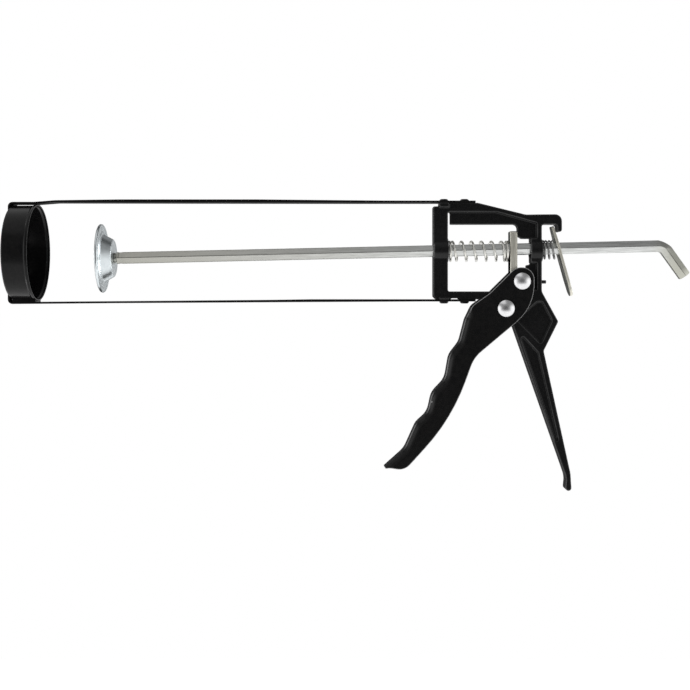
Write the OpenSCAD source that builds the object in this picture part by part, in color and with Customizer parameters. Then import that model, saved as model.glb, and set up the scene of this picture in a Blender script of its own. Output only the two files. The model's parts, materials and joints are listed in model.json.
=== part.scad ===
// Skeleton caulking gun for a standard 310 ml cartridge.
// +X runs from the front cup to the bent tail of the push rod and +Z is up.
// The gun is symmetric about the XZ plane. The origin is the centre of the
// cup's inner front face, where the shoulder of the cartridge seats.

/* [Cup] */
// Inner diameter of the cup, which holds a cartridge 50 mm across
cup_inner_d = 50.4; // [50.2:0.1:51]
// Depth of the cup from its inner front face to its rim
cup_depth = 13.6; // [10:0.1:16]
// Sheet thickness of the cup
cup_wall = 0.9; // [0.7:0.1:1.2]
// How far the rim is flared outwards
lip_flare = 0.65; // [0.3:0.05:0.9]
// Diameter of the nozzle opening in the cup's front face
nozzle_hole_d = 24; // [20:0.5:26]

/* [Straps] */
// Distance from the cup's inner front face to the casting's front plate
cradle_length = 232.3; // [226:0.1:238]
// Width of each strap
strap_w = 12; // [10:0.5:14]
// Thickness of each strap
strap_t = 1.1; // [0.9:0.1:1.3]
// Length of the strap's tab on the cup's front face
tab_length = 12; // [9:0.5:13]

/* [Casting] */
// Thickness of the cast frame and handle, which fit inside the trigger
body_w = 9.6; // [9:0.1:9.7]
// Thickness left in the middle of the frame's recesses
web_t = 4.6; // [3:0.1:6]
// Depth of the panels on each side of the handle
panel_depth = 1.2; // [0.5:0.1:2]
// Diameter of the two bosses that guide the rod
boss_d = 12.9; // [12.4:0.1:13.4]
// Diameter of the cored hole through both bosses
guide_hole_d = 9.6; // [9.4:0.1:10]

/* [Push rod] */
// Width of the hexagonal rod across its flats
rod_af = 6.4; // [6.2:0.1:6.5]
// How far the loose rod droops towards the front, in degrees
rod_droop = 1.26; // [1:0.01:1.3]
// Height of the rod's axis at the middle of the casting's front boss
rod_z = 0.95; // [0.8:0.05:1.1]
// Angle between the bent tail and the rod, in degrees
tail_bend = 55.6; // [45:0.1:65]
// Radius of the bend, at the middle of the rod
bend_r = 5.4; // [5:0.1:7]
// Length of the straight end of the tail
tail_length = 17.7; // [14:0.1:20]

/* [Plunger disc] */
// Outer diameter of the disc
disc_d = 38; // [36:0.5:42]
// Depth of the disc from its rim to its flat back
disc_depth = 7.6; // [6.4:0.1:10]
// Sheet thickness of the disc
disc_t = 1.2; // [1:0.1:1.4]

/* [Plates] */
// Thickness of the drive plate
drive_plate_t = 3.9; // [3.5:0.1:4]
// Width of the drive plate
drive_plate_w = 9.7; // [9:0.1:9.8]
// Thickness of the release lever
lever_t = 1.5; // [1.2:0.1:1.6]
// Angle at which the release lever stands when it grips, in degrees
lever_tilt = 15.7; // [15:0.1:15.9]
// Hexagonal hole of the drive plate across its flats
drive_hole_af = 6.8; // [6.7:0.05:7]
// Hexagonal hole of the release lever across its flats
lever_hole_af = 7.02; // [7:0.01:7.1]

/* [Trigger] */
// Width between the trigger's two cheeks
trigger_inner_w = 10.2; // [10:0.1:10.6]
// Sheet thickness of the trigger
trigger_t = 1.2; // [1:0.1:1.5]
// Shank diameter of the two rivets through the trigger
pin_d = 5; // [4.5:0.1:5]
// Head diameter of the two rivets through the trigger
pin_head_d = 9.2; // [8:0.1:9.6]

/* [Hidden] */
$fn = 64;

// A gap that leaves moving faces free of each other
gap = 0.05;
// How far a cutting tool runs past the face it cuts
past = 1;

// Places along the casting, measured from the cup
plate_x = cradle_length;
plate_t = 8.1;
plate_rear_x = plate_x + plate_t;
boss_rear_x = plate_rear_x + 0.5;
upright_x = plate_x + 53.9;
upright_rear_x = plate_x + 59.9;
rear_boss_x = plate_x + 60.6;
rib_x = plate_x + 57.2;
frame_top_z = 27.45;
frame_bottom_z = -25.9;

// Pivot of the trigger and the rivet that pushes the drive plate
pivot = [plate_x + 40, -30.8];
push_pin = pivot + [8.9, 15.05];

// Rod axis: its height above the origin, and the x of the features along it
rod_rise = tan(rod_droop);
rod_z0 = rod_z - (plate_rear_x - 4.3) * rod_rise;
guide_z = 1.25;
disc_x = 48;
disc_back_x = disc_x + disc_depth;
spigot_r = 2.5;
collar_r = 2.9;
shoulder_x = disc_back_x + 1.4;
spigot_gap = 0.05;
bend_x = plate_x + 125;

// Release lever: the top edge of its middle plane, its length and the rod's place on it
lever_top = [plate_x + 65.9, 14.5];
lever_length = 39.9;
lever_at_rod = 12.6;

// Strap rivets: their places, heads, shanks and the depth of their holes in the casting
strap_rivet_x = [plate_x + 6.2, plate_x + 17.6];
strap_rivet_r = 1.5;
strap_head_d = 5;
strap_head_h = 1.2;
top_shank = 5;
bottom_shank = 4.5;
top_hole_depth = 5;
bottom_hole_depth = 4;

// Pads that carry the front rivets, and how far the heads of the big rivets rise
pad_x = plate_x + 3.3;
pad_length = 5.4;
pin_head_h = 2.1;

// Stop of the release lever: a small lug on the rear of the upright
lug_x = plate_x + 62.9;
lug_z = -16.2;
lug_d = 2;

// Unit vector along v
function unit(v) = v / norm(v);

// A polyline whose inner corners [x, z, r] are rounded to radius r
function chain(corners, steps = 6) = [
    for (i = [0 : len(corners) - 1])
        let (
            last = len(corners) - 1,
            b = [corners[i].x, corners[i].y],
            r = corners[i][2]
        )
        each (i == 0 || i == last || r == 0) ? [b] : corner_arc(
            [corners[i - 1].x, corners[i - 1].y], b,
            [corners[i + 1].x, corners[i + 1].y], r, steps)
];

// Points of the arc of radius r that rounds the corner b between a and c
function corner_arc(a, b, c, r, steps) =
    let (
        u = unit(a - b),
        v = unit(c - b),
        half = acos(u * v) / 2,
        centre = b + unit(u + v) * r / sin(half),
        from = b + u * r / tan(half) - centre,
        turn = (u.x * v.y - u.y * v.x > 0 ? -1 : 1) * (180 - 2 * half),
        start = atan2(from.y, from.x)
    )
    [for (k = [0 : steps])
        centre + r * [cos(start + turn * k / steps), sin(start + turn * k / steps)]];

// A closed outline whose corners [x, z, r] are all rounded
function rounded(corners, steps = 6) =
    let (
        n = len(corners),
        looped = concat([corners[n - 1]], corners, [corners[0]]),
        points = chain(looped, steps)
    )
    [for (i = [1 : len(points) - 2]) points[i]];

// A polyline moved sideways by t, to the left of its direction
function shifted(line, t) = [
    for (i = [0 : len(line) - 1])
        let (d = unit(line[min(i + 1, len(line) - 1)] - line[max(i - 1, 0)]))
        line[i] + t * [-d.y, d.x]
];

// An outline in X and Z, extruded to a width that is centred on the XZ plane
module profile(width, points) {
    rotate([90, 0, 0])
        linear_extrude(height = width, center = true)
            polygon(points);
}

// A cylinder along +X from x1 to x2 at height z
module x_cylinder(x1, x2, z, d) {
    translate([x1, 0, z])
        rotate([0, 90, 0])
            cylinder(d = d, h = x2 - x1);
}

// A cylinder along Y, centred on the XZ plane, at [x, z]
module y_cylinder(at, d, h) {
    translate([at.x, 0, at.y])
        rotate([90, 0, 0])
            cylinder(d = d, h = h, center = true);
}

// Places its children in the rod's own frame: +X along the rod, origin at x = 0
module on_rod() {
    translate([0, 0, rod_z0])
        rotate([0, -rod_droop, 0])
            children();
}

// A hexagonal bar along +X with flats at its top and bottom
module hex_bar(length, af) {
    rotate([0, 90, 0])
        rotate([0, 0, 30])
            cylinder(r = af / 2 / cos(30), h = length, $fn = 6);
}

// A round-headed rivet's head: a spherical cap on the XY plane
module rivet_head(d, h) {
    r = (d * d / 4 + h * h) / (2 * h);
    rotate_extrude()
        intersection() {
            translate([0, h - r])
                circle(r = r);
            square([d, h]);
        }
}

// A coil spring along +X: steps is a table of [turns, x], r is the wire's path, and
// lean stretches the spring towards its bottom, for an end that rests on a tilted plate
module spring(r, wire_d, turns, steps, lean = 0) {
    rings = 16;
    sides = 8;
    count = turns * rings;
    points = [
        for (i = [0 : count])
            let (
                a = 360 * i / rings,
                x = lookup(i / rings, steps) * (1 + lean * (1 - cos(a))),
                centre = [x, -r * sin(a), r * cos(a)]
            )
            for (k = [0 : sides - 1])
                let (b = 360 * k / sides)
                centre + wire_d / 2 * [sin(b), -cos(b) * sin(a), cos(b) * cos(a)]
    ];
    walls = [
        for (i = [0 : count - 1])
            for (k = [0 : sides - 1])
                let (a = i * sides, b = a + sides, n = (k + 1) % sides)
                each [[a + k, b + k, b + n], [a + k, b + n, a + n]]
    ];
    start_cap = [for (k = [0 : sides - 1]) k];
    end_cap = [for (k = [sides - 1 : -1 : 0]) count * sides + k];
    polyhedron(points, concat([start_cap], walls, [end_cap]), convexity = 10);
}

// ---------------------------------------------------------------- casting

frame_outline = rounded([
    [plate_x, 25.5, 0.6],
    [plate_x + 8, 25.5, 0.2],
    [plate_x + 8, frame_top_z, 0.4],
    [plate_x + 24.5, frame_top_z, 4],
    [plate_x + 51, 20.95, 5],
    [plate_x + 71, 21.15, 3.8],
    [plate_x + 71, 11.4, 1.3],
    [plate_x + 68.3, 11.4, 1.2],
    [plate_x + 68.5, 15.5, 1.4],
    [upright_rear_x, 15.5, 1.2],
    [upright_rear_x, -21.6, 4],
    [plate_x + 69, -38.1, 1.4],
    [plate_x + 60.9, -54, 1],
    [plate_x + 50.5, -58, 1],
    [plate_x + 45, -39.4, 2],
    [pivot.x - 6, -39.4, 6],
    [pivot.x - 11.5, -25.9, 3],
    [plate_x + 1.5, frame_bottom_z, 1],
    [plate_x, -24.4, 0.8]
]);

// The window between the front plate and the trigger, where the spring works
window_outline = rounded([
    [plate_rear_x, -21.5, 0.8],
    [plate_rear_x, 15.5, 0.2],
    [plate_x + 46.65, 15.5, 2.4],
    [plate_x + 46.65, 9, 1],
    [plate_x + 49.1, 7.6, 1.2],
    [upright_x, 7.6, 0.4],
    [upright_x, -6.6, 0.4],
    [plate_x + 51.6, -7.0, 0.4],
    [plate_x + 52.2, -21.5, 3]
]);

// The open slot between the front plate and the web of the top bar
slot_outline = [
    [plate_rear_x, 14],
    [plate_rear_x + 1.35, 14],
    [plate_rear_x + 1.35, 22.2],
    [plate_rear_x, 22.2]
];

// The recess below the flange of the top bar, open to the window, down to the rear boss
top_recess_outline = [
    [plate_rear_x, 22.4],
    [plate_x + 35, 22.4],
    [rib_x, 16.3],
    [rib_x, 7.9],
    [upright_x, 7.9],
    [upright_x, 7],
    [plate_x + 45, 7],
    [plate_x + 45, 14],
    [plate_rear_x, 14]
];

// The recess of the upright between the rear boss and the trigger's pivot
upright_recess_outline = [
    [plate_x + 50, -5.6],
    [rib_x, -5.6],
    [rib_x, -20.7],
    [plate_x + 50, -20.7]
];

// The handle: straight front and rear edges that end in a small upright tip
handle_outline = rounded([
    [plate_x + 55.9, -25.6, 0.5],
    [upright_rear_x + 2.2, -25.6, 0.5],
    [plate_x + 69, -38.1, 1.4],
    [plate_x + 60.9, -54.3, 2],
    [plate_x + 75.7, -121.9, 8],
    [plate_x + 76.3, -131.5, 1.6],
    [plate_x + 72.7, -131.5, 1.6],
    [plate_x + 73.5, -124.5, 12],
    [plate_x + 44, -40.3, 1]
]);

// The panel in the wide top of the handle
upper_panel_outline = rounded([
    [plate_x + 57.1, -27.2, 0.8],
    [plate_x + 60.2, -27.2, 1],
    [plate_x + 65.6, -37.4, 1],
    [plate_x + 59.5, -50.7, 1],
    [plate_x + 46, -37, 1]
]);

// The long panel between the front and rear rims of the grip
lower_panel_outline = rounded([
    [plate_x + 47, -43.5, 1],
    [plate_x + 57.9, -55.2, 1.5],
    [plate_x + 69.1, -104, 0.7],
    [plate_x + 67.4, -104, 0.7]
]);

module body_casting() {
    recess = (body_w - web_t) / 2;
    color([0.05, 0.05, 0.055])
        difference() {
            union() {
                profile(body_w, frame_outline);
                profile(body_w, handle_outline);
                // pads under the front rivets
                for (z = [[25, frame_top_z], [frame_bottom_z, -25]])
                    translate([pad_x, -strap_w / 2, z[0]])
                        cube([pad_length, strap_w, z[1] - z[0]]);
                x_cylinder(plate_x + 0.4, boss_rear_x, guide_z, boss_d);
                x_cylinder(upright_x, rear_boss_x, guide_z, boss_d);
                x_cylinder(upright_rear_x - past, lug_x, lug_z, lug_d);
            }
            difference() {
                profile(body_w + past, window_outline);
                x_cylinder(plate_x, boss_rear_x, guide_z, boss_d);
                x_cylinder(upright_x, rear_boss_x, guide_z, boss_d);
            }
            profile(body_w + past, slot_outline);
            // the lower bar touches the strap only at its rivets
            translate([plate_x + 9.6, -body_w, frame_bottom_z - past])
                cube([4.6, 2 * body_w, past + 0.6]);
            for (side = [-1, 1]) {
                translate([0, side * (web_t / 2 + recess), 0]) {
                    profile(2 * recess, top_recess_outline);
                    profile(2 * recess, upright_recess_outline);
                }
                translate([0, side * body_w / 2, 0]) {
                    profile(2 * panel_depth, upper_panel_outline);
                    profile(2 * panel_depth, lower_panel_outline);
                }
            }
            x_cylinder(plate_x - past, rear_boss_x + past, guide_z, guide_hole_d);
            y_cylinder(pivot, pin_d, body_w + past);
            for (x = strap_rivet_x) {
                translate([x, 0, frame_top_z - top_hole_depth])
                    cylinder(r = strap_rivet_r, h = top_hole_depth + past);
                translate([x, 0, frame_bottom_z - past])
                    cylinder(r = strap_rivet_r, h = bottom_hole_depth + past);
            }
        }
}

// ------------------------------------------------------- cup and straps

// Start of the cup's flared lip
lip_x = cup_depth - 1.8;

module front_cup() {
    r = cup_inner_d / 2;
    outer = r + cup_wall;
    corner = 1.3;
    color([0.06, 0.06, 0.065])
        rotate([0, 90, 0])
            rotate_extrude($fn = 96)
                polygon(concat(
                    [[nozzle_hole_d / 2, 0], [nozzle_hole_d / 2, -cup_wall]],
                    [for (a = [0 : 15 : 90])
                        [outer - corner + corner * sin(a), corner - cup_wall - corner * cos(a)]],
                    [
                        [outer, lip_x],
                        [outer + lip_flare, lip_x + 0.8],
                        [outer + lip_flare, cup_depth],
                        [r + lip_flare, cup_depth],
                        [r + lip_flare, lip_x + 1],
                        [r, lip_x + 0.2],
                        [r, 0]
                    ]
                ));
}

// A strap: side is 1 for the top one and -1 for the bottom one, and line is
// its outer face from the cup's front corner to its rear end, as [x, z]
module strap(side, line) {
    front = -cup_wall - strap_t;
    edge = line[0].y;
    outer = chain(concat(
        [[front, edge - tab_length, 0], [front, edge, 2.6]],
        [for (p = line) [p.x, p.y, 20]]
    ));
    inner = shifted(outer, -strap_t);
    loop = concat(outer, [for (i = [len(inner) - 1 : -1 : 0]) inner[i]]);
    profile(strap_w, [for (p = loop) [p.x, side * p.y]]);
}

strap_end_x = plate_x + 23.2;
cup_top_z = cup_inner_d / 2 + cup_wall + lip_flare + strap_t;

module top_strap() {
    color([0.05, 0.05, 0.05])
        difference() {
            strap(1, [
                [12.5, cup_top_z], [24, 28.75], [60, 29.2], [135, 29.2],
                [178, frame_top_z + strap_t], [strap_end_x, frame_top_z + strap_t]
            ]);
            for (x = strap_rivet_x)
                translate([x, 0, 0])
                    cylinder(r = strap_rivet_r, h = 40);
        }
}

// Distance of the bottom strap's outer face from the cup's axis, along the cartridge
bottom_line_z = 28.4;

// Front end of the saddle, behind the cup's rounded front corner
saddle_x = 0.8;

module bottom_strap() {
    color([0.05, 0.05, 0.05])
        difference() {
            union() {
                strap(-1, [
                    [70, bottom_line_z],
                    [165, -frame_bottom_z + strap_t], [strap_end_x, -frame_bottom_z + strap_t]
                ]);
                // the saddle that carries the cup
                translate([saddle_x, -strap_w / 2, strap_t / 2 - bottom_line_z])
                    cube([cup_depth - saddle_x - 0.4, strap_w, 5]);
            }
            x_cylinder(0, lip_x + past, 0, cup_inner_d + 2 * cup_wall);
            x_cylinder(lip_x, cup_depth + past, 0, cup_inner_d + 2 * cup_wall + 2 * lip_flare);
            for (x = strap_rivet_x)
                translate([x, 0, -40])
                    cylinder(r = strap_rivet_r, h = 40);
        }
}

// A strap rivet whose head stands on the XY plane and whose shank goes down
module strap_rivet(shank) {
    color([0.05, 0.05, 0.05]) {
        rivet_head(strap_head_d, strap_head_h);
        translate([0, 0, -shank])
            cylinder(r = strap_rivet_r, h = shank);
    }
}

module top_rivet(x) {
    translate([x, 0, frame_top_z + strap_t])
        strap_rivet(top_shank);
}

module bottom_rivet(x) {
    translate([x, 0, frame_bottom_z - strap_t])
        rotate([180, 0, 0])
            strap_rivet(bottom_shank);
}

module top_front_rivet() {
    top_rivet(strap_rivet_x[0]);
}

module top_rear_rivet() {
    top_rivet(strap_rivet_x[1]);
}

module bottom_front_rivet() {
    bottom_rivet(strap_rivet_x[0]);
}

module bottom_rear_rivet() {
    bottom_rivet(strap_rivet_x[1]);
}

// ---------------------------------------------------------------- trigger

trigger_outer_w = trigger_inner_w + 2 * trigger_t;

// Corners [x, z, r] given from the pivot, moved to their place
function from_pivot(corners) = [for (p = corners) [pivot.x + p.x, pivot.y + p.y, p[2]]];

// The front edge from the tip up to the top, with three shallow finger grooves
trigger_front = chain(from_pivot([
    [-67.4, -87.5, 0],
    [-56.2, -77.5, 14],
    [-49.6, -62.8, 11],
    [-43.3, -57.4, 11],
    [-41, -46.5, 11],
    [-33.7, -38.8, 11],
    [-31.4, -25.5, 11],
    [-25.8, -18.3, 10],
    [-22.5, -5.6, 10],
    [-18.3, 1.8, 6],
    [-9, 8.4, 12],
    [2.6, 19.9, 0]
]));

// The rear edge from the top, round the pivot, and down to the tip
trigger_rear = chain(from_pivot([
    [2.6, 19.9, 0],
    [5.4, 22.7, 7],
    [15.6, 22.5, 6.6],
    [15.5, 0.6, 27],
    [-17.6, -27.1, 19],
    [-29.7, -60.6, 110],
    [-55.8, -89.3, 8],
    [-67.4, -87.5, 0]
]));

// Height above which the channel has no front wall, only its two cheeks
trigger_wall_top = pivot.y + 0.8;

// Reach from the pivot that clears the whole trigger
trigger_reach = 120;

module trigger() {
    inner_front = [for (p = shifted(trigger_front, -trigger_t)) if (p.y < trigger_wall_top) p];
    inside = concat(
        [[inner_front[0].x, pivot.y - trigger_reach]],
        inner_front,
        [
            [pivot.x - trigger_reach, trigger_wall_top],
            [pivot.x - trigger_reach, pivot.y + trigger_reach],
            [pivot.x + trigger_reach, pivot.y + trigger_reach],
            [pivot.x + trigger_reach, pivot.y - trigger_reach]
        ]
    );
    color([0.06, 0.06, 0.065])
        difference() {
            profile(trigger_outer_w, concat(trigger_front, trigger_rear));
            profile(trigger_inner_w, inside);
            y_cylinder(pivot, pin_d + 2 * gap, trigger_outer_w + past);
            y_cylinder(push_pin, pin_d, trigger_outer_w + past);
        }
}

// A rivet through the trigger with a domed head on each side
module dome_rivet(at, head_gap) {
    grip = trigger_outer_w + 2 * head_gap;
    color([0.8, 0.8, 0.82]) {
        y_cylinder(at, pin_d, grip);
        for (side = [-1, 1])
            translate([at.x, side * grip / 2, at.y])
                rotate([-side * 90, 0, 0])
                    rivet_head(pin_head_d, pin_head_h);
    }
}

module trigger_pivot_rivet() {
    dome_rivet(pivot, gap);
}

module push_rivet() {
    dome_rivet(push_pin, 0);
}

// ------------------------------------------------------- rod and its plates

drive_plate_x = push_pin.x - pin_d / 2 - gap;

// Outline of the drive plate in Y and Z, which fits between the trigger's cheeks
drive_plate_outline = rounded([
    [-drive_plate_w / 2, 11.8, 1.2],
    [drive_plate_w / 2, 11.8, 1.2],
    [drive_plate_w / 2, -18.6, 0.8],
    [-drive_plate_w / 2, -18.6, 0.8]
]);

module drive_plate() {
    color([0.72, 0.7, 0.64])
        difference() {
            translate([drive_plate_x - drive_plate_t, 0, 0])
                rotate([90, 0, 90])
                    linear_extrude(height = drive_plate_t)
                        polygon(drive_plate_outline);
            on_rod()
                translate([drive_plate_x - drive_plate_t - 5, 0, 0])
                    hex_bar(drive_plate_t + 10, drive_hole_af);
        }
}

module drive_spring() {
    start = boss_rear_x + 0.65;
    length = drive_plate_x - drive_plate_t - 0.65 - start;
    color([0.75, 0.74, 0.7])
        translate([start, 0, 0.8])
            spring(5.35, 1.2, 8, [
                [0, 0], [0.9, 1.3], [1.4, 3.4], [6.25, length - 2.5], [7.1, length - 0.9], [8, length]
            ]);
}

module push_rod() {
    head_x = disc_back_x - disc_t - gap;
    seam = 0.03;
    color([0.66, 0.66, 0.64])
        on_rod() {
            // peened end, spigot, the collar behind the disc and the bar's shoulder
            translate([head_x - 1.6, 0, 0])
                rotate([0, 90, 0])
                    cylinder(r1 = 2.9, r2 = 3.9, h = 1.6);
            translate([head_x, 0, 0])
                rotate([0, 90, 0])
                    cylinder(r = spigot_r, h = disc_t + 2 * gap);
            translate([disc_back_x + gap, 0, 0])
                rotate([0, 90, 0])
                    cylinder(r = collar_r, h = shoulder_x - disc_back_x);
            translate([shoulder_x, 0, 0])
                hex_bar(bend_x + seam - shoulder_x, rod_af);
            // the bend is a hair slimmer, so that both bars close over its ends
            translate([bend_x, 0, -bend_r])
                rotate([-90, -90, 0])
                    rotate_extrude(angle = tail_bend)
                        translate([bend_r, 0])
                            rotate(30)
                                circle(r = (rod_af - seam) / 2 / cos(30), $fn = 6);
            translate([bend_x, 0, -bend_r])
                rotate([0, tail_bend, 0])
                    translate([-seam, 0, bend_r])
                        hex_bar(tail_length, rod_af);
        }
}

// The pressed disc: a rolled rim, a cone and a flat back, hollow towards the cup
module plunger_disc() {
    rim_r = disc_d / 2;
    back_r = 10.1;
    foot_r = 13.6;
    hole_r = spigot_r + spigot_gap;
    foot_x = 1.7;
    bead_r = 0.7;
    color([0.78, 0.8, 0.82])
        on_rod()
            translate([disc_x, 0, 0])
                rotate([0, 90, 0])
                    rotate_extrude($fn = 96)
                        polygon(concat(
                            [
                                [hole_r, disc_depth - disc_t],
                                [back_r - 0.7, disc_depth - disc_t],
                                [foot_r - 1, foot_x - 0.6],
                                [foot_r, foot_x - disc_t]
                            ],
                            [for (a = [-90 : 30 : 90])
                                [rim_r - bead_r + bead_r * cos(a), bead_r + bead_r * sin(a)]],
                            [
                                [foot_r + 0.8, foot_x],
                                [foot_r, foot_x + 0.4],
                                [back_r + 0.4, disc_depth - 0.5],
                                [back_r - 0.4, disc_depth],
                                [hole_r, disc_depth]
                            ]
                        ));
}

// Outline of the release lever in Y and along its length, from its top down
lever_outline = rounded([
    [-3.5, 0, 1.2],
    [3.5, 0, 1.2],
    [5.6, -9, 4],
    [5.6, -31, 8],
    [4.4, -lever_length, 4.2],
    [-4.4, -lever_length, 4.2],
    [-5.6, -31, 8],
    [-5.6, -9, 4]
]);

module release_lever() {
    color([0.7, 0.7, 0.68])
        translate([lever_top.x, 0, lever_top.y])
            rotate([0, -lever_tilt, 0])
                difference() {
                    translate([-lever_t / 2, 0, 0])
                        rotate([90, 0, 90])
                            linear_extrude(height = lever_t)
                                polygon(lever_outline);
                    translate([-lever_t, 0, -lever_at_rod])
                        hex_bar(2 * lever_t, lever_hole_af);
                }
}

module release_spring() {
    start = rear_boss_x + 0.55;
    color([0.3, 0.3, 0.3])
        translate([start, 0, 1.6])
            spring(5, 0.9, 3, [[0, 0], [0.7, 0.95], [3, 5.2]], 0.25);
}

body_casting();
front_cup();
top_strap();
bottom_strap();
top_front_rivet();
top_rear_rivet();
bottom_front_rivet();
bottom_rear_rivet();
trigger();
trigger_pivot_rivet();
push_rivet();
drive_plate();
drive_spring();
push_rod();
plunger_disc();
release_lever();
release_spring();
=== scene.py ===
import json
import math

import bmesh
import bpy
import numpy as np
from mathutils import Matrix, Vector


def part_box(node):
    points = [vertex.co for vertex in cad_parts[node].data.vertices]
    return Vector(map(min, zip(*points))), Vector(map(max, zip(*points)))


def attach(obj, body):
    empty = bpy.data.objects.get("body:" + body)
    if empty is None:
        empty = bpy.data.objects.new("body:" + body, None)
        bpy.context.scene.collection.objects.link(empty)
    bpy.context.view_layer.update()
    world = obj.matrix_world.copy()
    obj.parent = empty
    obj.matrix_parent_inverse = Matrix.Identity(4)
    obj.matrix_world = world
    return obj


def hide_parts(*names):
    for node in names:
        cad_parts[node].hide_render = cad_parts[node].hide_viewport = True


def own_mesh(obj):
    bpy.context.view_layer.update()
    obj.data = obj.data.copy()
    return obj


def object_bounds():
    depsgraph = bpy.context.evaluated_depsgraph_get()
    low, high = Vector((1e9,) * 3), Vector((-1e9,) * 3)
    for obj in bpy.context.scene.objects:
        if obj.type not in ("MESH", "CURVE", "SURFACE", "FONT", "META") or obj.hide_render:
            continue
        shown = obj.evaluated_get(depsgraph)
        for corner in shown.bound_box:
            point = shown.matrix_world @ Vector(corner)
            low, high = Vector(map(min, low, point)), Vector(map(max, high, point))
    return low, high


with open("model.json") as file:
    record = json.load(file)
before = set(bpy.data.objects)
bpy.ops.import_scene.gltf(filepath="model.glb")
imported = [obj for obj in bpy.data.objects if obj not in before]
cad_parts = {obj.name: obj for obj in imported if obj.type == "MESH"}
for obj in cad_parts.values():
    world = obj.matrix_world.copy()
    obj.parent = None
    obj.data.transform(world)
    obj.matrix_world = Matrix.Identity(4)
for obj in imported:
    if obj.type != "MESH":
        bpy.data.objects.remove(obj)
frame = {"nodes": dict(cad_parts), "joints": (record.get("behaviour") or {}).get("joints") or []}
cad_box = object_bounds()

MM = 0.001
SHARP = 40  # degrees between faces that meet at a sharp edge
LENGTHWISE = Vector((1, 0, 0))
SIDEWAYS = Vector((0, 1, 0))
UPWARDS = Vector((0, 0, 1))

# Places and directions in the frame that the pieces are built from
joints = {joint["name"]: joint for joint in frame["joints"]}
rod_axis = Vector(joints["rod_slide"]["axis"]).normalized()
disc_back = Vector(joints["disc_spin"]["pos_m"])
casting_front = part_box("body_casting")[0].x


# ------------------------------------------------------------ camera, floor and light

def make_camera():
    """The photograph's view: level and square to the gun, from about 0.7 m."""
    data = bpy.data.cameras.new("camera")
    data.lens = 64.1
    data.sensor_width = 36.0
    data.shift_y = -0.0878  # the camera is higher than the middle of the picture
    camera = bpy.data.objects.new("camera", data)
    camera.location = (0.1836, -0.682, -0.0176)
    camera.rotation_euler = (math.radians(90), 0, 0)
    bpy.context.scene.collection.objects.link(camera)
    bpy.context.scene.camera = camera


def make_floor():
    """A glowing white floor well below the gun, small enough to leave its side faces dark."""
    reach = 1.0
    drop = 0.4
    mesh = bpy.data.meshes.new("floor")
    corners = [(-reach, -reach, 0), (reach, -reach, 0), (reach, reach, 0), (-reach, reach, 0)]
    mesh.from_pydata(corners, [], [(0, 1, 2, 3)])
    floor = bpy.data.objects.new("floor", mesh)
    floor.location = ((cad_box[0].x + cad_box[1].x) / 2, 0, cad_box[0].z - drop)
    bpy.context.scene.collection.objects.link(floor)
    material = bpy.data.materials.new("pale_floor")
    material.use_nodes = True
    shader = material.node_tree.nodes["Principled BSDF"]
    shader.inputs["Base Color"].default_value = (0.3, 0.3, 0.3, 1)
    shader.inputs["Roughness"].default_value = 0.9
    shader.inputs["Emission Color"].default_value = (1, 1, 1, 1)
    shader.inputs["Emission Strength"].default_value = 0.95
    mesh.materials.append(material)


def make_world():
    """Soft studio light: bright from below and from both sides, dim from above, in front and behind."""
    world = bpy.data.worlds.new("studio")
    bpy.context.scene.world = world
    world.use_nodes = True
    tree = world.node_tree
    tree.nodes.clear()
    new, link = tree.nodes.new, tree.links.new
    where = new("ShaderNodeTexCoord")
    parts = new("ShaderNodeSeparateXYZ")
    link(where.outputs["Generated"], parts.inputs[0])

    def band(axis, low, high, a, b):
        """Runs smoothly from a to b as the direction's share along an axis goes from low to high."""
        node = new("ShaderNodeMapRange")
        node.interpolation_type = "SMOOTHSTEP"
        node.inputs["From Min"].default_value = low
        node.inputs["From Max"].default_value = high
        node.inputs["To Min"].default_value = a
        node.inputs["To Max"].default_value = b
        link(parts.outputs[axis], node.inputs["Value"])
        return node.outputs[0]

    def join(kind, a, b):
        """One number from two, by a Math node."""
        node = new("ShaderNodeMath")
        node.operation = kind
        link(a, node.inputs[0])
        link(b, node.inputs[1])
        return node.outputs[0]

    def all_of(*factors):
        """The product of the factors."""
        result = factors[0]
        for factor in factors[1:]:
            result = join("MULTIPLY", result, factor)
        return result

    height = band("Z", -0.85, -0.1, 1.05, 0.26)
    in_front = band("Y", -0.98, -0.85, 0.35, 1.0)
    straight_behind = band("Y", 0.85, 0.98, 1.0, 0.25)
    light = all_of(height, in_front, straight_behind)
    beside = band("Y", 0.0, 0.4, 1.0, 0.3)
    a_little_behind = band("Y", 0.2, 0.4, 0.0, 1.0)
    behind = band("Y", 0.85, 0.95, 0.0, 1.0)
    low = band("Z", 0.1, 0.6, 1.0, 0.25)
    level = band("Z", 0.3, 0.7, 1.0, 0.0)
    high = band("Z", 0.5, 0.8, 0.0, 1.0)
    soft_left = all_of(band("X", -0.9, -0.5, 1.3, 0.0), beside, low)
    soft_right = all_of(band("X", 0.4, 0.9, 0.0, 1.3), beside, low)
    left_strip = all_of(band("X", -0.85, -0.7, 4.0, 0.0), a_little_behind, level)
    right_strip = all_of(band("X", 0.75, 0.85, 0.0, 4.0), a_little_behind, level)
    back_right = all_of(band("X", 0.05, 0.2, 0.0, 0.7), behind, level)
    top_left = all_of(band("X", -0.18, 0.22, 0.8, 0.24), high)
    for patch in (soft_left, soft_right, left_strip, right_strip, back_right, top_left):
        light = join("MAXIMUM", light, patch)
    # the camera itself sees plain white
    rays = new("ShaderNodeLightPath")
    seen = join("MAXIMUM", light, rays.outputs["Is Camera Ray"])
    background = new("ShaderNodeBackground")
    background.inputs["Color"].default_value = (1, 1, 1, 1)
    link(seen, background.inputs["Strength"])
    output = new("ShaderNodeOutputWorld")
    link(background.outputs[0], output.inputs["Surface"])


# ---------------------------------------------------------------- materials

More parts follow.
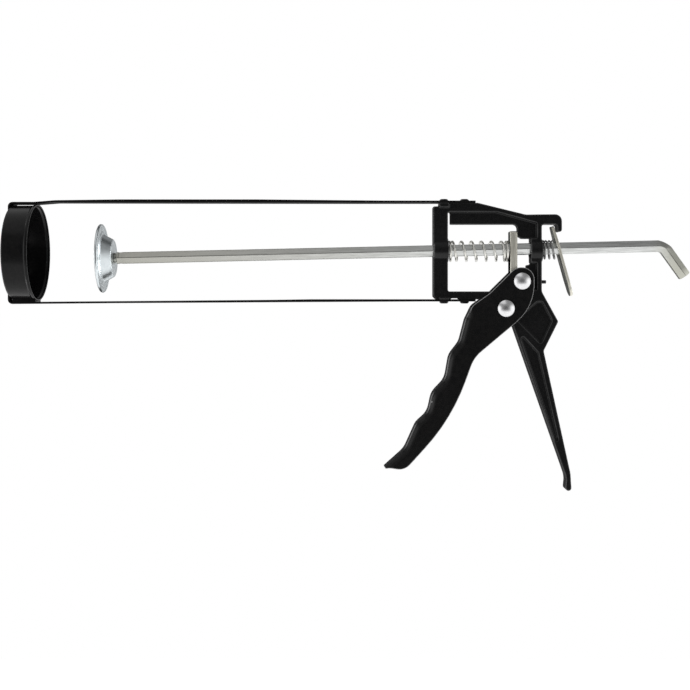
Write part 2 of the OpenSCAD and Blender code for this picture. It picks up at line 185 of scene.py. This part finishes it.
CLOUD = 14.0  # size of the slow changes in gloss and wear, in grains
SPECK = 0.35  # size of the fine changes in gloss, in grains
EDGE = (0.51, 0.545)  # pointiness where the painted highlight on an outer edge starts and where it is full


def surface(name, dark, light, gloss, grain, bump, metallic=1.0, specular=0.5, stains=(),
            edge_highlight=None):
    """A material in the piece's own coordinates.

    dark and light are the two colours it drifts between, gloss its lowest and highest
    roughness, grain the size in metres of its marks along X, Y and Z, and bump their
    height. stains lists (colour, x where it is strongest, x where it ends), and the last
    argument is the colour of a painted highlight on the sharp outer edges.
    """
    material = bpy.data.materials.new(name)
    material.use_nodes = True
    tree = material.node_tree
    new, link = tree.nodes.new, tree.links.new
    shader = tree.nodes["Principled BSDF"]
    where = new("ShaderNodeTexCoord")

    def noise(size, detail):
        """Noise whose marks have this size along X, Y and Z."""
        scaled = new("ShaderNodeMapping")
        scaled.inputs["Scale"].default_value = [1 / s for s in size]
        link(where.outputs["Object"], scaled.inputs["Vector"])
        node = new("ShaderNodeTexNoise")
        node.inputs["Scale"].default_value = 1.0
        node.inputs["Detail"].default_value = detail
        link(scaled.outputs[0], node.inputs["Vector"])
        return node.outputs["Fac"]

    def span(value, low, high, a, b):
        """Runs from a to b as the value goes from low to high."""
        node = new("ShaderNodeMapRange")
        node.inputs["From Min"].default_value = low
        node.inputs["From Max"].default_value = high
        node.inputs["To Min"].default_value = a
        node.inputs["To Max"].default_value = b
        link(value, node.inputs["Value"])
        return node.outputs[0]

    def blend(factor, a, b):
        """The colour a where the factor is 0, and b where it is 1."""
        node = new("ShaderNodeMix")
        node.data_type = "RGBA"
        link(factor, node.inputs[0])
        for socket, colour in ((node.inputs[6], a), (node.inputs[7], b)):
            if isinstance(colour, tuple):
                socket.default_value = (*colour, 1)
            else:
                link(colour, socket)
        return node.outputs[2]

    def product(a, b):
        """One number times another."""
        node = new("ShaderNodeMath")
        node.operation = "MULTIPLY"
        link(a, node.inputs[0])
        link(b, node.inputs[1])
        return node.outputs[0]

    marks = noise(grain, 4.0)
    clouds = noise([CLOUD * s for s in grain], 2.0)
    specks = noise([SPECK * s for s in grain], 3.0)
    colour = blend(span(marks, 0.35, 0.68, 0.0, 1.0), dark, light)
    if stains:
        parts = new("ShaderNodeSeparateXYZ")
        link(where.outputs["Object"], parts.inputs[0])
        for tint, strongest, end in stains:
            colour = blend(span(parts.outputs["X"], end, strongest, 0.0, 1.0), colour, tint)
    # painted highlight: a light colour on the sharp outer edges, patchy where the clouds are
    if edge_highlight:
        shape = new("ShaderNodeNewGeometry")
        edges = span(shape.outputs["Pointiness"], *EDGE, 0.0, 1.0)
        painted_highlight = product(edges, span(clouds, 0.3, 0.6, 0.35, 1.0))
        colour = blend(painted_highlight, colour, edge_highlight)
    link(colour, shader.inputs["Base Color"])
    dullest = 1.4
    dull = product(span(clouds, 0.3, 0.7, 0.0, 1.0), span(specks, 0.2, 0.8, 0.6, dullest))
    link(span(dull, 0.0, dullest, *gloss), shader.inputs["Roughness"])
    shader.inputs["Metallic"].default_value = metallic
    shader.inputs["Specular IOR Level"].default_value = specular
    relief = new("ShaderNodeBump")
    relief.inputs["Strength"].default_value = 1.0
    relief.inputs["Distance"].default_value = bump
    link(marks, relief.inputs["Height"])
    link(relief.outputs[0], shader.inputs["Normal"])
    return material


def mm(*sizes):
    """Sizes in millimetres, as metres."""
    return [s * MM for s in sizes]


# its last colour is a faint painted highlight on the casting's outer edges
CAST_ENAMEL = surface("cast_enamel", (0.006, 0.006, 0.0064), (0.011, 0.0108, 0.011),
                      (0.2, 0.36), mm(1.3, 1.3, 1.3), 0.01 * MM, metallic=0.0, specular=0.3,
                      edge_highlight=(0.07, 0.07, 0.07))
SHEET_ENAMEL = surface("sheet_enamel", (0.006, 0.006, 0.0064), (0.0105, 0.01, 0.01),
                       (0.16, 0.27), mm(1.8, 1.8, 1.8), 0.006 * MM, metallic=0.0, specular=0.16)
# its last colour is a bright painted highlight on the trigger's outer edges
TRIGGER_ENAMEL = surface("trigger_enamel", (0.006, 0.006, 0.0064), (0.0105, 0.01, 0.01),
                         (0.16, 0.27), mm(1.8, 1.8, 1.8), 0.006 * MM, metallic=0.0, specular=0.3,
                         edge_highlight=(0.5, 0.5, 0.5))
ZINC_PLATE = surface("zinc_plate", (0.68, 0.66, 0.58), (0.95, 0.93, 0.83),
                     (0.48, 0.6), mm(0.5, 0.5, 7), 0.01 * MM)
# a darker zinc for the plates' flat faces: painted shade
SHADED_ZINC_FACE = surface("zinc_face_painted_shade", (0.4, 0.41, 0.37), (0.62, 0.63, 0.58),
                    (0.2, 0.3), mm(0.8, 0.8, 5), 0.003 * MM)
ZINC_DISC = surface("zinc_disc", (0.66, 0.71, 0.73), (0.76, 0.81, 0.83),
                    (0.28, 0.38), mm(2.5, 2.5, 2.5), 0.001 * MM)
ROD_STEEL = surface("rod_steel", (0.5, 0.51, 0.5), (0.72, 0.73, 0.72),
                    (0.24, 0.36), mm(9, 0.6, 0.6), 0.006 * MM,
                    stains=(((0.43, 0.425, 0.385), 0.06, 0.26),
                            ((0.5, 0.5, 0.44), 0.366, 0.352)))
BRIGHT_WIRE = surface("bright_wire", (0.80, 0.79, 0.74), (0.95, 0.94, 0.9),
                      (0.3, 0.42), mm(0.5, 0.9, 0.9), 0.003 * MM)
DARK_WIRE = surface("dark_wire", (0.2, 0.2, 0.2), (0.5, 0.5, 0.49),
                    (0.3, 0.42), mm(0.5, 0.9, 0.9), 0.003 * MM)
CHROME = surface("satin_chrome", (0.78, 0.78, 0.79), (0.9, 0.9, 0.91),
                 (0.26, 0.34), mm(0.9, 0.9, 0.9), 0.003 * MM)


# ---------------------------------------------------------------- mesh helpers

def rounded_path(corners, closed=False):
    """Points through the corners (a, b, radius), with an arc in place of each rounded one."""
    steps = 5
    points = []
    for i, (a, b, radius) in enumerate(corners):
        here = Vector((a, b))
        if radius == 0 or (not closed and i in (0, len(corners) - 1)):
            points.append(here)
            continue
        before = (Vector(corners[i - 1][:2]) - here).normalized()
        after = (Vector(corners[(i + 1) % len(corners)][:2]) - here).normalized()
        half = before.angle(after) / 2
        centre = here + (before + after).normalized() * (radius / math.sin(half))
        arm = here + before * (radius / math.tan(half)) - centre
        last = here + after * (radius / math.tan(half)) - centre
        turn = math.atan2(arm.x * last.y - arm.y * last.x, arm.dot(last))
        for k in range(steps + 1):
            c, s = math.cos(turn * k / steps), math.sin(turn * k / steps)
            points.append(centre + Vector((c * arm.x - s * arm.y, s * arm.x + c * arm.y)))
    return points


def finished(bm, name):
    """The bmesh as a mesh with outward normals."""
    bmesh.ops.recalc_face_normals(bm, faces=bm.faces)
    mesh = bpy.data.meshes.new(name)
    bm.to_mesh(mesh)
    bm.free()
    return mesh


def lathe(profile, base, axis, segments):
    """A mesh turned around an axis through base, from a profile of (along, radius) points."""
    bm = bmesh.new()
    turn = LENGTHWISE.rotation_difference(axis)
    rings = []
    for along, radius in profile:
        ring = []
        for k in range(segments if radius > 1e-7 else 1):
            angle = 2 * math.pi * k / segments
            spot = Vector((along, radius * math.cos(angle), radius * math.sin(angle)))
            ring.append(bm.verts.new(base + turn @ spot))
        rings.append(ring)
    for a, b in zip(rings, rings[1:] + rings[:1]):
        for k in range(segments):
            corners = [a[k % len(a)], b[k % len(b)], b[(k + 1) % len(b)], a[(k + 1) % len(a)]]
            corners = list(dict.fromkeys(corners))
            if len(corners) > 2:
                bm.faces.new(corners)
    return finished(bm, "lathe")


def sweep(rings):
    """A closed mesh through rings of points, flat at both ends."""
    bm = bmesh.new()
    rings = [[bm.verts.new(p) for p in ring] for ring in rings]
    for a, b in zip(rings, rings[1:]):
        for k in range(len(a)):
            n = (k + 1) % len(a)
            bm.faces.new((a[k], b[k], b[n], a[n]))
    bm.faces.new(rings[0])
    bm.faces.new(rings[-1])
    return finished(bm, "sweep")


def evaluated(mesh, *modifiers):
    """A new mesh: the given one after modifiers, each a type and its settings."""
    holder = bpy.data.objects.new("holder", mesh)
    bpy.context.scene.collection.objects.link(holder)
    for kind, settings in modifiers:
        modifier = holder.modifiers.new(kind.lower(), kind)
        for key, value in settings.items():
            setattr(modifier, key, value)
    done = holder.evaluated_get(bpy.context.evaluated_depsgraph_get())
    result = bpy.data.meshes.new_from_object(done)
    bpy.data.objects.remove(holder)
    return result


def cad_mesh(node):
    """A copy of a CAD node's mesh with its doubled points joined."""
    bm = bmesh.new()
    bm.from_mesh(frame["nodes"][node].data)
    bmesh.ops.remove_doubles(bm, verts=bm.verts, dist=0.002 * MM)
    return finished(bm, node)


def even_mesh(mesh, voxel):
    """The mesh's shape in small even faces."""
    return evaluated(mesh, ("REMESH", {"mode": "VOXEL", "voxel_size": voxel}))


def smoothed(mesh, rounds):
    """The mesh with its corners softened."""
    return evaluated(mesh, ("SMOOTH", {"factor": 0.5, "iterations": rounds}))


def bevelled(node, width):
    """A CAD node with its flat faces made whole and its sharp edges broken."""
    bm = bmesh.new()
    bm.from_mesh(cad_mesh(node))
    bmesh.ops.dissolve_limit(bm, angle_limit=math.radians(1), verts=bm.verts, edges=bm.edges)
    mesh = finished(bm, node)
    return evaluated(mesh, ("BEVEL", {
        "width": width, "segments": 3, "limit_method": "ANGLE",
        "angle_limit": math.radians(SHARP)}))


def make_piece(name, mesh, body, slot, material, *nodes, crease=SHARP):
    """Shows a mesh in place of CAD nodes, smooth apart from edges sharper than crease degrees."""
    mesh.polygons.foreach_set("use_smooth", [True] * len(mesh.polygons))
    mesh.set_sharp_from_angle(angle=math.radians(crease))
    mesh.materials.clear()
    mesh.materials.append(material)
    piece = bpy.data.objects.new(name, mesh)
    bpy.context.scene.collection.objects.link(piece)
    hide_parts(*nodes)
    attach(piece, body)
    return piece


# ---------------------------------------------------------------- casting

def make_casting():
    """The die-cast frame and handle: its CAD shape with softly rounded corners."""
    mesh = smoothed(even_mesh(cad_mesh("body_casting"), 0.35 * MM), 3)
    make_piece("cast_frame", mesh, "frame", "black_cast", CAST_ENAMEL, "body_casting", crease=180)


# ---------------------------------------------------------------- cup, straps and their rivets

def make_cup():
    """The pressed cup: a rounded front corner, a flared lip and a hole with a softened edge."""
    low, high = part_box("front_cup")
    wall = -low.x / MM
    depth = high.x / MM
    flare = 0.65
    inner = high.z / MM - wall - flare
    outer = inner + wall
    hole = 12.0
    # along the axis, radius and rounding of each corner, in millimetres
    profile = rounded_path([
        (0, hole, 0.4),
        (-wall, hole, 0.4),
        (-wall, outer, 1.6),
        (depth - 2.0, outer, 1.0),
        (depth - 1.2, outer + flare, 0.8),
        (depth, outer + flare, 0.3),
        (depth, inner + flare, 0.3),
        (depth - 1.0, inner + flare, 0.8),
        (depth - 1.9, inner, 1.0),
        (0, inner, 0.8),
    ], closed=True)
    mesh = lathe([p * MM for p in profile], Vector((0, 0, 0)), LENGTHWISE, 128)
    make_piece("cup_shell", mesh, "frame", "black_sheet", SHEET_ENAMEL, "front_cup")


def make_straps():
    """The two cradle straps, with the sheet's edges broken."""
    for side in ("top", "bottom"):
        mesh = bevelled(side + "_strap", 0.28 * MM)
        make_piece(side + "_rail", mesh, "frame", "black_sheet", SHEET_ENAMEL, side + "_strap")


def make_strap_rivets():
    """The straps' rivets, with flattened button heads."""
    for side, up in (("top", 1), ("bottom", -1)):
        for place in ("front", "rear"):
            node = f"{side}_{place}_rivet"
            low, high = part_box(node)
            shank = 1.5
            head = (high.x - low.x) / 2 / MM
            tall = 1.2
            length = (high.z - low.z) / MM - tall
            # height above the strap, radius and rounding of each corner, in millimetres
            profile = rounded_path([
                (-length, 0, 0),
                (-length, shank, 0.3),
                (0, shank, 0),
                (0, head, 0.2),
                (0.55, head, 0.35),
                (tall, head - 0.75, 0.6),
                (tall, 0, 0),
            ])
            outer_z = high.z if up > 0 else low.z
            base = Vector(((low.x + high.x) / 2, 0, outer_z - up * tall * MM))
            mesh = lathe([p * MM for p in profile], base, up * UPWARDS, 40)
            name = f"{side}_{place}_button"
            make_piece(name, mesh, "frame", "black_sheet", SHEET_ENAMEL, node)


# ---------------------------------------------------------------- trigger and its rivets

def rolled(mesh, source, radius, wall_top):
    """Turns the sharp folds along the trigger's front wall into round bends.

    source is the CAD mesh, whose front wall is found by its faces that cross from cheek
    to cheek. A point near a fold lies on a square around the bend's centre line, and moves
    to the circle of the same size. The bends begin at wall_top and reach their full radius
    a little below it.
    """
    half_width = max(v.co.y for v in source.vertices)
    hair = 0.01 * MM
    near = {v.index for v in source.vertices if v.co.y < -half_width + hair}
    far = {v.index for v in source.vertices if v.co.y > half_width - hair}
    folds = []
    for face in source.polygons:
        corners = set(face.vertices)
        edge = sorted(corners & near)
        if len(edge) == 2 and corners & far:
            start, end = (np.array(source.vertices[i].co)[[0, 2]] for i in edge)
            inward = -np.array(face.normal)[[0, 2]]
            folds.append((start, end, inward / np.linalg.norm(inward)))
    count = len(mesh.vertices)
    points = np.zeros(count * 3)
    mesh.vertices.foreach_get("co", points)
    points = points.reshape(-1, 3)
    side_view = points[:, [0, 2]]
    nearest = np.full(count, np.inf)
    wall_depth = np.zeros(count)
    direction = np.zeros((count, 2))
    for start, end, inward in folds:
        run = end - start
        along = np.clip((side_view - start) @ run / (run @ run), 0, 1)
        away = side_view - (start + along[:, None] * run)
        distance = np.linalg.norm(away, axis=1)
        closer = distance < nearest
        nearest[closer] = distance[closer]
        wall_depth[closer] = np.maximum(away[closer] @ inward, 0)
        direction[closer] = inward
    cheek_depth = half_width - np.abs(points[:, 1])
    fade_length = 6 * MM
    fade = np.clip((wall_top - points[:, 2]) / fade_length, 0, 1)
    bend = radius * fade * fade * (3 - 2 * fade)
    # from the bend's centre line, how far a point is towards the wall and the cheek
    to_wall = bend - wall_depth
    to_cheek = bend - cheek_depth
    inside = (to_wall > 0) & (to_cheek > 0) & (nearest < 1.5 * radius)
    square = np.maximum(to_wall, to_cheek)
    circle = np.maximum(np.hypot(to_wall, to_cheek), 1e-9)
    wall_shift = np.where(inside, to_wall - square * to_wall / circle, 0)
    cheek_shift = np.where(inside, to_cheek - square * to_cheek / circle, 0)
    points[:, [0, 2]] += direction * wall_shift[:, None]
    points[:, 1] -= np.sign(points[:, 1]) * cheek_shift
    mesh.vertices.foreach_set("co", points.ravel())
    mesh.update()
    return mesh


def make_trigger():
    """The folded trigger: two cheeks and a front wall of one sheet, with round bends."""
    source = cad_mesh("trigger")
    wall_top = joints["trigger_pivot"]["pos_m"][2] + 0.8 * MM
    mesh = rolled(even_mesh(source.copy(), 0.3 * MM), source, 4.5 * MM, wall_top)
    mesh = smoothed(mesh, 5)
    make_piece("trigger_lever", mesh, "trigger", "black_sheet", TRIGGER_ENAMEL, "trigger", crease=180)


def make_dome_rivets():
    """Bright domed rivets through the trigger, one its pivot and one that pushes the plate."""
    for node, body in (("trigger_pivot_rivet", "frame"), ("push_rivet", "trigger")):
        low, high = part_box(node)
        head = (high.x - low.x) / 2
        reach = high.y
        dome = 2.1 * MM
        rim = 0.25 * MM
        taper = 0.1 * MM
        shank = 2.5 * MM
        ball = (head * head + (dome - rim) ** 2) / (2 * (dome - rim))
        steps = 10
        cap = []
        for k in range(steps + 1):
            radius = head * math.cos(math.pi / 2 * k / steps)
            rise = ball - math.sqrt(ball * ball - radius * radius)
            cap.append((reach - rise, radius))
        half = cap[::-1] + [(reach - dome, head - taper), (reach - dome, shank)]
        profile = [Vector(p) for p in half] + [Vector((-a, r)) for a, r in reversed(half)]
        base = Vector(((low.x + high.x) / 2, 0, (low.z + high.z) / 2))
        mesh = lathe(profile, base, SIDEWAYS, 64)
        make_piece(node + "_dome", mesh, body, "chrome_rivet", CHROME, node)


# ---------------------------------------------------------------- plates and springs

def make_plates():
    """The two plates that grip the rod: rough sheared edges and smoother rolled faces, the faces a
    darker zinc as painted shade.
    """
    for node, name, width in (("drive_plate", "thrust_plate", 0.45 * MM),
                              ("release_lever", "release_tab", 0.35 * MM)):
        mesh = bevelled(node, width)
        make_piece(name, mesh, node, "zinc_plate", ZINC_PLATE, node)
        mesh.materials.append(SHADED_ZINC_FACE)
        largest = max(mesh.polygons, key=lambda face: face.area).normal.copy()
        # the large flat faces take the darker zinc, as painted shade
        for face in mesh.polygons:
            on_rolled_face = abs(face.normal.dot(largest)) > 0.95
            face.material_index = int(on_rolled_face)


def coil(start, end, centre_z, radius, wire, spacing, lean=0.0):
    """A coil spring along X.

    spacing lists (turns, share of the length) for its pitch, and lean stretches the
    spring towards its bottom, for an end that rests on a tilted plate.
    """
    per_turn, sides = 32, 12
    turns = spacing[-1][0]
    turn_at = np.linspace(0, turns, turns * per_turn + 1)
    share = np.interp(turn_at, [row[0] for row in spacing], [row[1] for row in spacing])
    # the pitch changes gradually, over half a turn
    window = np.ones(per_turn // 2 + 1) / (per_turn // 2 + 1)
    padded = np.pad(share, per_turn // 4, mode="edge")
    share = np.convolve(padded, window, mode="valid")
    line = []
    for turn, part in zip(turn_at, share):
        angle = 2 * math.pi * turn
        stretch = 1 + lean * (1 - math.cos(angle))
        line.append(Vector((start + part * (end - start) * stretch,
                            -radius * math.sin(angle), centre_z + radius * math.cos(angle))))
    rings = []
    for i, (turn, here) in enumerate(zip(turn_at, line)):
        angle = 2 * math.pi * turn
        outwards = Vector((0, -math.sin(angle), math.cos(angle)))
        ahead = line[min(i + 1, len(line) - 1)] - line[max(i - 1, 0)]
        across = ahead.cross(outwards).normalized()
        rings.append([here + wire / 2 * (math.cos(b) * outwards + math.sin(b) * across)
                      for b in (2 * math.pi * k / sides for k in range(sides))])
    return sweep(rings)


def make_springs():
    """The long drive spring, with closed ends, and the short release spring."""
    low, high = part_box("drive_spring")
    wire = 1.2 * MM
    radius = (high.z - low.z - wire) / 2
    mesh = coil(low.x + wire / 2, high.x - wire / 2, (low.z + high.z) / 2, radius, wire, [
        (0, 0.0), (0.9, 0.035), (1.45, 0.11), (6.25, 0.925), (7.1, 0.972), (8, 1.0)])
    spring = make_piece("drive_coil", mesh, "frame", "spring_steel", BRIGHT_WIRE, "drive_spring")
    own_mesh(spring)
    low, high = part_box("release_spring")
    wire = 0.9 * MM
    radius = (high.z - low.z - wire) / 2
    start = low.x + wire / 2
    top_length = 5.2 * MM
    mesh = coil(start, start + top_length, (low.z + high.z) / 2, radius, wire, [
        (0, 0.0), (0.7, 0.18), (3, 1.0)], lean=0.25)
    spring = make_piece("release_coil", mesh, "frame", "dark_spring", DARK_WIRE, "release_spring")
    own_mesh(spring)


# ---------------------------------------------------------------- rod and disc

def make_rod():
    """The hexagonal rod in one sweep: peened end, spigot, collar, bar, bend and tail."""
    across_flats = 6.4 * MM
    bend_distance = 125 * MM  # from the casting's front face to where the rod bends
    straight = casting_front + bend_distance - disc_back.x / rod_axis.x
    bend_angle = math.radians(55.6)
    bend_radius = 5.4 * MM
    tail = 17.65 * MM
    corner = across_flats / 2 / math.cos(math.radians(30))
    corner_left = 0.972  # share of the sharp corner's radius that its rounding leaves
    gain = 0.0025  # what that share gains for each degree away from the corner
    offsets = (-24, -16, -9, -3.2, -1.1, 1.1, 3.2, 9, 16, 24)  # degrees from each corner
    angles = [math.radians(60 * side + off) for side in range(6) for off in offsets]
    hexagon = []
    for angle in angles:
        off = abs((math.degrees(angle) + 30) % 60 - 30)
        flat = across_flats / 2 / math.cos(math.radians(30 - off))
        hexagon.append(min(flat, corner * (corner_left + gain * off)))
    along, up = rod_axis, UPWARDS - rod_axis * rod_axis.z
    up.normalize()

    def ring(centre, lift, radii, flatten=0.0, widen=0.0):
        """Points around a centre, with lift towards the top, which is flattened in a bend."""
        points = []
        for angle, radius in zip(angles, radii):
            aside = radius * math.cos(angle)
            raised = radius * math.sin(angle)
            if raised > 0:
                raised *= 1 - flatten
            points.append(centre + SIDEWAYS * aside * (1 + widen) + lift * raised)
        return points

    def round_ring(at, radius):
        """A round ring, in millimetres."""
        return ring(disc_back + along * at * MM, up, [radius * MM] * len(angles))

    # the round front end: distance along the axis from the disc's back, and radius, in mm
    rings = [round_ring(at, radius) for at, radius in (
        (-2.85, 2.3), (-2.8, 2.6), (-2.6, 2.95), (-1.45, 3.7), (-1.3, 3.75), (-1.25, 3.6),
        (-1.25, 2.5), (0.05, 2.5), (0.05, 2.75), (0.15, 2.9), (1.4, 2.9))]

    def bar(at, scale, centre=None, lift=up):
        """A hexagonal ring, at a distance along the axis or around a centre."""
        spot = disc_back + along * at if centre is None else centre
        return ring(spot, lift, [radius * scale for radius in hexagon])

    # a groove in the bar's front end, then the plain bar
    neck = 0.955
    bar_start = 4.7
    for at, scale in ((1.4, 0.9), (1.75, 1.0), (2.5, 1.0), (2.9, neck), (4.3, neck), (bar_start, 1.0)):
        rings.append(bar(at * MM, scale))
    steps = 24
    for k in range(1, steps + 1):
        rings.append(bar(bar_start * MM + (straight - bar_start * MM) * k / steps, 1.0))
    bend_start = disc_back + along * straight
    hub = bend_start - up * bend_radius
    steps = 16
    for k in range(1, steps + 1):
        angle = bend_angle * k / steps
        lift = up * math.cos(angle) + along * math.sin(angle)
        strain = math.sin(math.pi * k / steps) ** 0.7
        flatten, widen = 0.15 * strain, 0.05 * strain
        rings.append(ring(hub + lift * bend_radius, lift, hexagon, flatten, widen))
    ahead = along * math.cos(bend_angle) - up * math.sin(bend_angle)
    lift = up * math.cos(bend_angle) + along * math.sin(bend_angle)
    end = hub + lift * bend_radius
    for at in (3.0, 8.0, 13.0):
        rings.append(bar(0, 1.0, end + ahead * at * MM, lift))
    for back, scale in ((0.45, 1.0), (0.15, 0.965), (0.0, 0.9)):
        rings.append(bar(0, scale, end + ahead * (tail - back * MM), lift))
    make_piece("hex_rod", sweep(rings), "rod", "rod_steel", ROD_STEEL, "push_rod", crease=25)


def make_disc():
    """The pressed disc: a rolled rim, a shallow groove, a cone and a flat back."""
    depth = 7.6
    sheet = 1.2
    rim = 19.0
    hole = 2.55
    # along the axis from the flat back, radius and rounding of each corner, in millimetres
    back = [(0, hole, 0), (0, 10.2, 1.2), (-5.5, 13.2, 1.0), (-5.6, 14.2, 0.5), (-6.35, 15.6, 1.2),
            (-5.8, 17.3, 0.8), (-6.1, rim, 0.6), (-depth, rim, 0.7)]
    front = [(-depth, 17.6, 0.7), (-7.5, 15.8, 1.2), (-7.0, 13.6, 0.8), (-6.2, 12.4, 0.8),
             (-sheet, 9.2, 0.9), (-sheet, hole, 0)]
    profile = rounded_path(back + front, closed=True)
    mesh = lathe([p * MM for p in profile], disc_back, rod_axis, 128)
    make_piece("pressed_disc", mesh, "disc", "zinc_disc", ZINC_DISC, "plunger_disc")


make_camera()
make_floor()
make_world()
bpy.context.scene.view_settings.view_transform = "Standard"
make_casting()
make_cup()
make_straps()
make_strap_rivets()
make_trigger()
make_dome_rivets()
make_plates()
make_springs()
make_rod()
make_disc()
